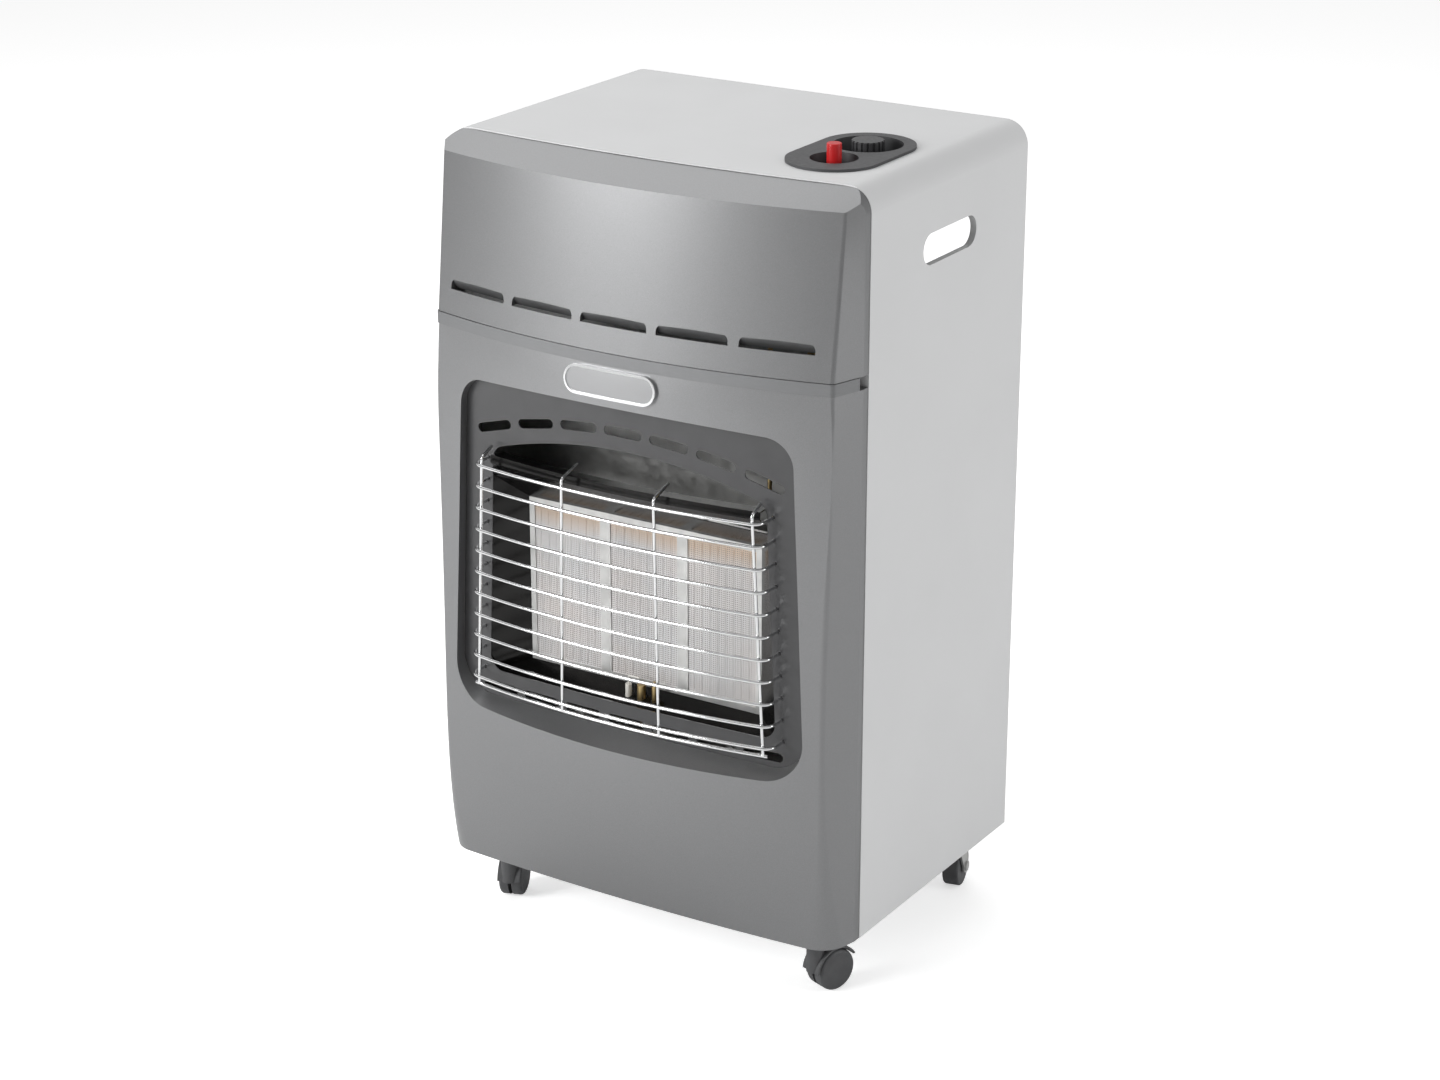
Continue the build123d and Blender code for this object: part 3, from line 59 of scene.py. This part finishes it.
class Finish:
    """A material whose Principled shader gets plain values and a few varying ones."""

    def __init__(self, name, colour, roughness, metallic=0.0, **plain):
        self.material = bpy.data.materials.new(name)
        self.material.use_nodes = True
        self.tree = self.material.node_tree
        self.shader = self.tree.nodes["Principled BSDF"]
        self.colour = (*colour, 1.0)
        self.shader.inputs["Base Color"].default_value = self.colour
        self.shader.inputs["Roughness"].default_value = roughness
        self.shader.inputs["Metallic"].default_value = metallic
        for socket, value in plain.items():
            self.shader.inputs[socket.replace("_", " ")].default_value = value
        self.material.diffuse_color = self.colour

    def add(self, kind, settings, values, output=0):
        """One node with its settings, then the values or links of its sockets."""
        node = self.tree.nodes.new(kind)
        for setting, value in settings.items():
            setattr(node, setting, value)
        for key, value in values.items():
            if isinstance(value, Wire):
                self.tree.links.new(value.socket, node.inputs[key])
            else:
                node.inputs[key].default_value = value
        return Wire(self, node.outputs[output])

    def maths(self, operation, first, second=0.0):
        """One sum, with numbers or wires going in."""
        return self.add("ShaderNodeMath", {"operation": operation}, {0: first, 1: second})

    def place(self):
        """Where a point is on the object, in metres."""
        return self.add("ShaderNodeTexCoord", {}, {}, "Object")

    def axes(self):
        """That place as three numbers."""
        parts = self.tree.nodes.new("ShaderNodeSeparateXYZ")
        self.tree.links.new(self.place().socket, parts.inputs[0])
        return [Wire(self, output) for output in parts.outputs]

    def noise(self, scale, detail=3.0, stretch=(1.0, 1.0, 1.0)):
        spread = self.add("ShaderNodeMapping", {}, {"Vector": self.place(), "Scale": stretch})
        return self.add("ShaderNodeTexNoise", {}, {"Vector": spread, "Scale": scale, "Detail": detail})

    def ramp(self, value, low, high):
        """A value from 0 to 1 between two thresholds."""
        return self.add("ShaderNodeMapRange", {}, {"Value": value, "From Min": low, "From Max": high})

    def blend(self, factor, first, second):
        """A colour between two others."""
        mix = self.tree.nodes.new("ShaderNodeMix")
        mix.data_type = "RGBA"
        self.tree.links.new(factor.socket, mix.inputs[0])
        for socket, value in ((mix.inputs[6], first), (mix.inputs[7], second)):
            if isinstance(value, Wire):
                self.tree.links.new(value.socket, socket)
            else:
                socket.default_value = (*value, 1.0)
        return Wire(self, mix.outputs[2])

    def drive(self, socket, value):
        self.tree.links.new(value.socket, self.shader.inputs[socket])

    def bump(self, height, depth, strength=1.0):
        """Relief of a depth in metres."""
        relief = self.add("ShaderNodeBump", {}, {"Height": height, "Distance": depth, "Strength": strength})
        self.drive("Normal", relief)

    def speckle(self, spread, scale, swing, rough_low, rough_high):
        """Uneven tone and gloss over the whole piece."""
        dark = [channel * (1 - swing) for channel in self.colour[:3]]
        light = [min(1.0, channel * (1 + swing)) for channel in self.colour[:3]]
        cloud = self.noise(scale, 4.0, spread)
        self.drive("Base Color", self.blend(self.ramp(cloud, 0.3, 0.7), dark, light))
        gloss = self.noise(scale * 2.7, 3.0, spread)
        self.drive("Roughness", self.ramp(gloss, 0.25, 0.75) * (rough_high - rough_low) + rough_low)

    def wear(self, *nodes):
        """Gives this finish to CAD pieces."""
        for node in nodes:
            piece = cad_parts[node]
            for slot in piece.material_slots:
                slot.material = self.material
            if not piece.material_slots:
                piece.data.materials.append(self.material)


EVEN = (1.0, 1.0, 1.0)
white_coat = Finish("white_powder_coat", (0.7, 0.704, 0.708), roughness=0.42, Specular_IOR_Level=0.4)
white_coat.speckle(EVEN, scale=9.0, swing=0.012, rough_low=0.36, rough_high=0.46)
white_coat.bump(white_coat.noise(1100.0, 2.0), depth=0.00004, strength=0.35)
white_coat.wear("cabinet_wrap")

# Front panels: two pressed steel panels with a crease down each side, sprayed in fine silver
# lacquer. The upper one has scooped louvres, and the lower one a flanged opening for the fire.
silver_lacquer = Finish(
    "silver_lacquer", (0.25, 0.252, 0.256), roughness=0.33, metallic=0.76,
    Coat_Weight=0.15, Coat_Roughness=0.25,
)
silver_lacquer.speckle(EVEN, scale=1800.0, swing=0.09, rough_low=0.3, rough_high=0.38)
silver_lacquer.bump(silver_lacquer.noise(2400.0, 1.0), depth=0.00002, strength=0.3)
silver_lacquer.wear("upper_front_panel", "lower_front_panel")

# Trim strip and name plate: brushed aluminium, the strip clipped in between the two panels and
# the blank plate stuck on below it. The plate has a bright rim around a duller field.
brushed = Finish("brushed_strip", (0.21, 0.213, 0.217), roughness=0.33, metallic=0.75)
brushed.speckle((1.0, 1.0, 30.0), scale=120.0, swing=0.05, rough_low=0.28, rough_high=0.4)
brushed.bump(brushed.noise(90.0, 3.0, (0.6, 0.6, 40.0)), depth=0.00002, strength=0.4)
brushed.wear("trim_strip")
plate_finish = Finish("name_plate", (0.6, 0.605, 0.61), roughness=0.22, metallic=0.8)
rim_inside = 0.0024
rim_outside = 0.0019
rim_colour = (0.72, 0.725, 0.73)
field_colour = (0.3, 0.302, 0.306)
rim_roughness = 0.2
field_roughness = 0.36
plate_low, plate_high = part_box("name_plate")
plate_radius = (plate_high[2] - plate_low[2]) / 2
plate_straight = (plate_high[0] - plate_low[0]) / 2 - plate_radius
across, _, up = plate_finish.axes()
along = plate_finish.maths("MAXIMUM", plate_finish.maths("ABSOLUTE", across) - plate_straight, 0.0)
rise = up - (plate_low[2] + plate_high[2]) / 2
from_spine = plate_finish.maths("SQRT", along * along + rise * rise)
on_rim = plate_finish.ramp(from_spine, plate_radius - rim_inside, plate_radius - rim_outside)
plate_finish.drive("Base Color", plate_finish.blend(on_rim, field_colour, rim_colour))
rim_gloss = plate_finish.ramp(on_rim, 0.0, 1.0) * (rim_roughness - field_roughness)
plate_finish.drive("Roughness", rim_gloss + field_roughness)
plate_finish.bump(plate_finish.noise(110.0, 3.0, (0.5, 0.5, 50.0)), depth=0.00001, strength=0.3)
plate_finish.wear("name_plate")

# Fire surround: a slotted sheet in dark heat-proof enamel behind the opening, with the holes
# that take the guard's wires.
enamel = Finish(
    "dark_enamel", (0.05, 0.05, 0.052), roughness=0.34, metallic=0.15, Coat_Weight=0.3, Coat_Roughness=0.2,
)
enamel.speckle(EVEN, scale=40.0, swing=0.08, rough_low=0.28, rough_high=0.42)
enamel.bump(enamel.noise(1500.0, 2.0), depth=0.00003, strength=0.4)
enamel.wear("fire_surround")

# Visor and firebox liner: polished steel sheets, near black, with a tone and gloss that vary at
# random over them.
reflector = Finish("near_black_reflector", (0.03, 0.0295, 0.029), roughness=0.15, metallic=0.9)
reflector.speckle((0.4, 1.0, 1.6), scale=14.0, swing=0.3, rough_low=0.09, rough_high=0.22)
reflector.bump(reflector.noise(25.0, 2.0), depth=0.0002, strength=0.15)
reflector.wear("visor", "firebox_liner")

# Guard: hard-drawn steel wires, bent back at both ends, spot-welded to four uprights and a
# foot wire, then chromed as one piece.
chrome = Finish("chromed_wire", (0.82, 0.825, 0.83), roughness=0.09, metallic=1.0)
chrome.speckle(EVEN, scale=300.0, swing=0.03, rough_low=0.06, rough_high=0.13)
chrome.wear("guard_grille")

# Radiant plaques: three pressed ceramic tiles, off-white and tinted by the heat along the upper
# edge. Each carries its burner holes as one mesh of dark discs, laid out in bands by a node tree;
# the dark colour of the discs is painted shade for the depth of the holes.
ceramic = Finish("plaque_ceramic", (0.68, 0.665, 0.65), roughness=0.85, Specular_IOR_Level=0.25)
_, _, tile_height = ceramic.axes()
tile_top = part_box("ceramic_plaque_centre")[1][2]
scorch_start = 0.016
scorch_end = 0.001
scorch_wander = 0.012
scorch_colour = (0.64, 0.52, 0.42)
cool_tint = (0.66, 0.665, 0.67)
warm_tint = (0.7, 0.665, 0.645)
cloud = ceramic.noise(16.0, 4.0)
tint = ceramic.blend(ceramic.ramp(cloud, 0.35, 0.7), cool_tint, warm_tint)
scorch = ceramic.ramp(tile_height + cloud * scorch_wander, tile_top - scorch_start, tile_top - scorch_end)
ceramic.drive("Base Color", ceramic.blend(scorch, tint, scorch_colour))
ceramic.bump(ceramic.noise(1400.0, 3.0), depth=0.00008, strength=0.5)
ceramic.wear("ceramic_plaque_left", "ceramic_plaque_centre", "ceramic_plaque_right")

# Burner holes: flat dark discs, their colour painted shade for the inside of each hole.
hole_painted_shade = Finish("hole_painted_shade", (0.16, 0.13, 0.12), roughness=0.9)
hole_painted_shade.speckle(EVEN, scale=60.0, swing=0.3, rough_low=0.85, rough_high=0.95)


hole_corners = 7
hole_radius = 0.00052
hole_proud = 0.00006
hole_bands = 9
hole_columns = 4
hole_rows = 76
band_gap = 0.0028
tile_margin = 0.0032


def burner_holes():
    """A node tree that lays bands of dark discs, painted shade for the holes, over one tile, in rows and
    columns.
    """
    tree = bpy.data.node_groups.new("burner_holes", "GeometryNodeTree")
    for socket, kind in (
        ("Bands", "NodeSocketInt"), ("Band pitch", "NodeSocketFloat"), ("Band width", "NodeSocketFloat"),
        ("Height", "NodeSocketFloat"), ("Columns", "NodeSocketInt"), ("Rows", "NodeSocketInt"),
        ("Hole radius", "NodeSocketFloat"),
    ):
        tree.interface.new_socket(socket, in_out="INPUT", socket_type=kind)
    tree.interface.new_socket("Geometry", in_out="OUTPUT", socket_type="NodeSocketGeometry")
    sizes = tree.nodes.new("NodeGroupInput")
    grid = tree.nodes.new("GeometryNodeMeshGrid")
    disc = tree.nodes.new("GeometryNodeMeshCircle")
    disc.fill_type = "NGON"
    disc.inputs["Vertices"].default_value = hole_corners
    band = tree.nodes.new("GeometryNodeInstanceOnPoints")
    step = tree.nodes.new("ShaderNodeCombineXYZ")
    line = tree.nodes.new("GeometryNodeMeshLine")
    tile = tree.nodes.new("GeometryNodeInstanceOnPoints")
    real = tree.nodes.new("GeometryNodeRealizeInstances")
    paint = tree.nodes.new("GeometryNodeSetMaterial")
    paint.inputs["Material"].default_value = hole_painted_shade.material
    out = tree.nodes.new("NodeGroupOutput")
    for source, end in (
        (sizes.outputs["Band width"], grid.inputs["Size X"]),
        (sizes.outputs["Height"], grid.inputs["Size Y"]),
        (sizes.outputs["Columns"], grid.inputs["Vertices X"]),
        (sizes.outputs["Rows"], grid.inputs["Vertices Y"]),
        (sizes.outputs["Hole radius"], disc.inputs["Radius"]),
        (grid.outputs["Mesh"], band.inputs["Points"]),
        (disc.outputs["Mesh"], band.inputs["Instance"]),
        (sizes.outputs["Band pitch"], step.inputs["X"]),
        (sizes.outputs["Bands"], line.inputs["Count"]),
        (step.outputs[0], line.inputs["Offset"]),
        (line.outputs["Mesh"], tile.inputs["Points"]),
        (band.outputs["Instances"], tile.inputs["Instance"]),
        (tile.outputs["Instances"], real.inputs[0]),
        (real.outputs[0], paint.inputs["Geometry"]),
        (paint.outputs[0], out.inputs[0]),
    ):
        tree.links.new(source, end)
    return tree


def tile_holes(name, tree, low, high):
    """The discs of one tile as a mesh, a hair in front of its face."""
    pitch = (high[0] - low[0]) / hole_bands
    values = {
        "Bands": hole_bands, "Band pitch": pitch, "Band width": pitch - band_gap,
        "Height": high[2] - low[2] - 2 * tile_margin, "Columns": hole_columns, "Rows": hole_rows,
        "Hole radius": hole_radius,
    }
    holder = bpy.data.objects.new(name, bpy.data.meshes.new(name))
    bpy.context.scene.collection.objects.link(holder)
    modifier = holder.modifiers.new("Holes", "NODES")
    modifier.node_group = tree
    for item in tree.interface.items_tree:
        if item.in_out == "INPUT":
            modifier[item.identifier] = values[item.name]
    evaluated = holder.evaluated_get(bpy.context.evaluated_depsgraph_get())
    mesh = bpy.data.meshes.new_from_object(evaluated)
    holder.modifiers.remove(modifier)
    for vertex in mesh.vertices:
        x, z, _ = vertex.co
        vertex.co = (low[0] + pitch / 2 + x, low[1] - hole_proud, (low[2] + high[2]) / 2 + z)
    mesh.update()
    holder.data = mesh
    return holder


hole_tree = burner_holes()
for tile in ("left", "centre", "right"):
    low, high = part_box(f"ceramic_plaque_{tile}")
    holes = tile_holes(f"plaque_{tile}_holes", hole_tree, low, high)
    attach(holes, "cabinet")

# Burner trays, carrier rails, shield, brackets and the casters' metal: pressed and turned steel,
# zinc-plated, with the cloudy tone that plating has.
zinc = Finish("zinc_plated", (0.55, 0.55, 0.54), roughness=0.36, metallic=0.9)
zinc.speckle(EVEN, scale=55.0, swing=0.12, rough_low=0.3, rough_high=0.46)
zinc.bump(zinc.noise(900.0, 2.0), depth=0.00002, strength=0.3)
zinc.wear(
    "plaque_frame", "heat_shield", "burner_rail_upper", "burner_rail_lower", "rail_bracket_left",
    "rail_bracket_right", "rear_rail", "valve_bracket", "burner_left", "burner_centre", "burner_right",
    "injector_rail", "valve_spindle", "valve_plunger", "igniter_nut", "caster_screws",
)
for side in ("left", "right"):
    zinc.wear(
        f"front_caster_{side}_stem", f"front_caster_{side}_axle", f"rear_caster_{side}_plate",
        f"rear_caster_{side}_fork", f"rear_caster_{side}_axle",
    )

# Gas pipes, jets, pilot and inlet: drawn and turned brass, dulled by handling. The spark
# electrode is glazed porcelain, and the gas valve is a die casting.
brass = Finish("turned_brass", (0.6, 0.45, 0.22), roughness=0.32, metallic=0.95)
brass.speckle(EVEN, scale=70.0, swing=0.14, rough_low=0.26, rough_high=0.42)
brass.wear("injector_jets", "gas_inlet", "pilot_burner", "thermocouple", "supply_pipe", "pilot_pipe")
porcelain = Finish("electrode_porcelain", (0.82, 0.8, 0.75), roughness=0.25)
porcelain.speckle(EVEN, scale=50.0, swing=0.03, rough_low=0.2, rough_high=0.32)
porcelain.wear("spark_electrode")
casting = Finish("die_cast_alloy", (0.5, 0.5, 0.5), roughness=0.5, metallic=0.8)
casting.speckle(EVEN, scale=300.0, swing=0.08, rough_low=0.44, rough_high=0.58)
casting.bump(casting.noise(1300.0, 3.0), depth=0.00006, strength=0.5)
casting.wear("gas_valve")

# Controls: a moulded recess in fine-grained dark plastic, with a fluted knob and a red igniter
# button standing in its two wells.
recess_plastic = Finish("recess_plastic", (0.06, 0.061, 0.064), roughness=0.5)
recess_plastic.speckle(EVEN, scale=120.0, swing=0.08, rough_low=0.5, rough_high=0.6)
recess_plastic.bump(recess_plastic.noise(1900.0, 2.0), depth=0.00006, strength=0.6)
recess_plastic.wear("control_recess")
knob_plastic = Finish("knob_plastic", (0.045, 0.045, 0.048), roughness=0.4)
knob_plastic.speckle(EVEN, scale=120.0, swing=0.08, rough_low=0.34, rough_high=0.46)
knob_plastic.bump(knob_plastic.noise(2000.0, 2.0), depth=0.00003, strength=0.5)
knob_plastic.wear("control_knob", "igniter_body")
red_plastic = Finish("red_button", (0.62, 0.018, 0.02), roughness=0.3)
red_plastic.speckle(EVEN, scale=90.0, swing=0.04, rough_low=0.26, rough_high=0.36)
red_plastic.wear("igniter_button")

# Base tray and rear cover: pressed steel in mid-grey powder coat. The tray is the bottle's
# platform, and the cover is held by four tabs.
grey_coat = Finish("grey_powder_coat", (0.5, 0.505, 0.51), roughness=0.45)
grey_coat.speckle(EVEN, scale=12.0, swing=0.02, rough_low=0.4, rough_high=0.52)
grey_coat.bump(grey_coat.noise(1100.0, 2.0), depth=0.00004, strength=0.4)
grey_coat.wear("base_tray", "rear_cover")

# Casters: moulded nylon hoods and wheels, twin wheels under a hood at the front and a single
# wheel in a fork at the rear.
nylon = Finish("caster_nylon", (0.075, 0.076, 0.079), roughness=0.48)
nylon.speckle(EVEN, scale=90.0, swing=0.1, rough_low=0.42, rough_high=0.56)
nylon.bump(nylon.noise(1600.0, 2.0), depth=0.00004, strength=0.5)
for side in ("left", "right"):
    nylon.wear(
        f"front_caster_{side}_hood", f"front_caster_{side}_wheel_inner", f"front_caster_{side}_wheel_outer",
        f"rear_caster_{side}_wheel",
    )

# Floor: a plain pale sheet that takes the heater's shadow and glows a little for the camera,
# so that it reads as white without more light on the heater.
floor_half = 12.0
floor_glow = 0.54
floor_mesh = bpy.data.meshes.new("floor")
build = bmesh.new()
bmesh.ops.create_grid(build, x_segments=1, y_segments=1, size=floor_half)
build.to_mesh(floor_mesh)
build.free()
floor = bpy.data.objects.new("floor", floor_mesh)
bpy.context.scene.collection.objects.link(floor)
floor_finish = Finish("studio_floor", (0.93, 0.93, 0.93), roughness=0.9, Specular_IOR_Level=0.0)
seen = floor_finish.add("ShaderNodeLightPath", {}, {}, "Is Camera Ray")
white = (1.0, 1.0, 1.0, 1.0)
glow = floor_finish.add("ShaderNodeEmission", {}, {"Color": white, "Strength": seen * floor_glow})
both = floor_finish.tree.nodes.new("ShaderNodeAddShader")
floor_finish.tree.links.new(floor_finish.shader.outputs[0], both.inputs[0])
floor_finish.tree.links.new(glow.socket, both.inputs[1])
floor_finish.tree.links.new(both.outputs[0], floor_finish.tree.nodes["Material Output"].inputs["Surface"])
floor_mesh.materials.append(floor_finish.material)

# Light: an even white room that the camera sees at full white, with three soft lamps: one at
# the front left, one on the right and a wide one above.
world = bpy.data.worlds.new("room")
bpy.context.scene.world = world
world.use_nodes = True
sky = world.node_tree
room = sky.nodes["Background"]
room_light = 0.36
room.inputs["Color"].default_value = white
room.inputs["Strength"].default_value = room_light
shown = sky.nodes.new("ShaderNodeBackground")
shown.inputs["Color"].default_value = white
shown.inputs["Strength"].default_value = 1.0
rays = sky.nodes.new("ShaderNodeLightPath")
either = sky.nodes.new("ShaderNodeMath")
either.operation = "MAXIMUM"
sky.links.new(rays.outputs["Is Camera Ray"], either.inputs[0])
sky.links.new(rays.outputs["Is Transmission Ray"], either.inputs[1])
choose = sky.nodes.new("ShaderNodeMixShader")
sky.links.new(either.outputs[0], choose.inputs[0])
sky.links.new(room.outputs[0], choose.inputs[1])
sky.links.new(shown.outputs[0], choose.inputs[2])
sky.links.new(choose.outputs[0], sky.nodes["World Output"].inputs["Surface"])


def soft_lamp(name, place, aim, size, power):
    """A square lamp at a place, turned towards a point."""
    lamp = bpy.data.lights.new(name, "AREA")
    lamp.shape = "SQUARE"
    lamp.size = size
    lamp.energy = power
    holder = bpy.data.objects.new(name, lamp)
    bpy.context.scene.collection.objects.link(holder)
    holder.location = place
    direction = [aim[axis] - place[axis] for axis in range(3)]
    flat = math.hypot(direction[0], direction[1])
    holder.rotation_euler = (math.atan2(flat, -direction[2]), 0.0, math.atan2(-direction[0], direction[1]))


soft_lamp("front_left_lamp", place=(-1.7, -2.75, 1.5), aim=(-0.3, -0.8, 0.0), size=1.4, power=85.0)
soft_lamp("right_lamp", place=(3.0, 0.9, 1.3), aim=(0.0, 0.0, 0.4), size=1.8, power=29.0)
soft_lamp("top_lamp", place=(-1.1, 0.8, 2.9), aim=(0.0, 0.0, 0.6), size=3.2, power=42.0)

# Camera: a long lens at the photograph's angle, above and to the right of the front, without
# lens shift.
look_down = 20.64
turn = 32.12
camera_data = bpy.data.cameras.new("camera")
camera_data.sensor_width = 36.0
camera_data.lens = 79.8
camera = bpy.data.objects.new("camera", camera_data)
bpy.context.scene.collection.objects.link(camera)
camera.location = (1.4647, -2.3482, 1.4072)
camera.rotation_euler = (math.radians(90.0 - look_down), 0.0, math.radians(turn))
bpy.context.scene.camera = camera
bpy.context.scene.view_settings.view_transform = "Standard"
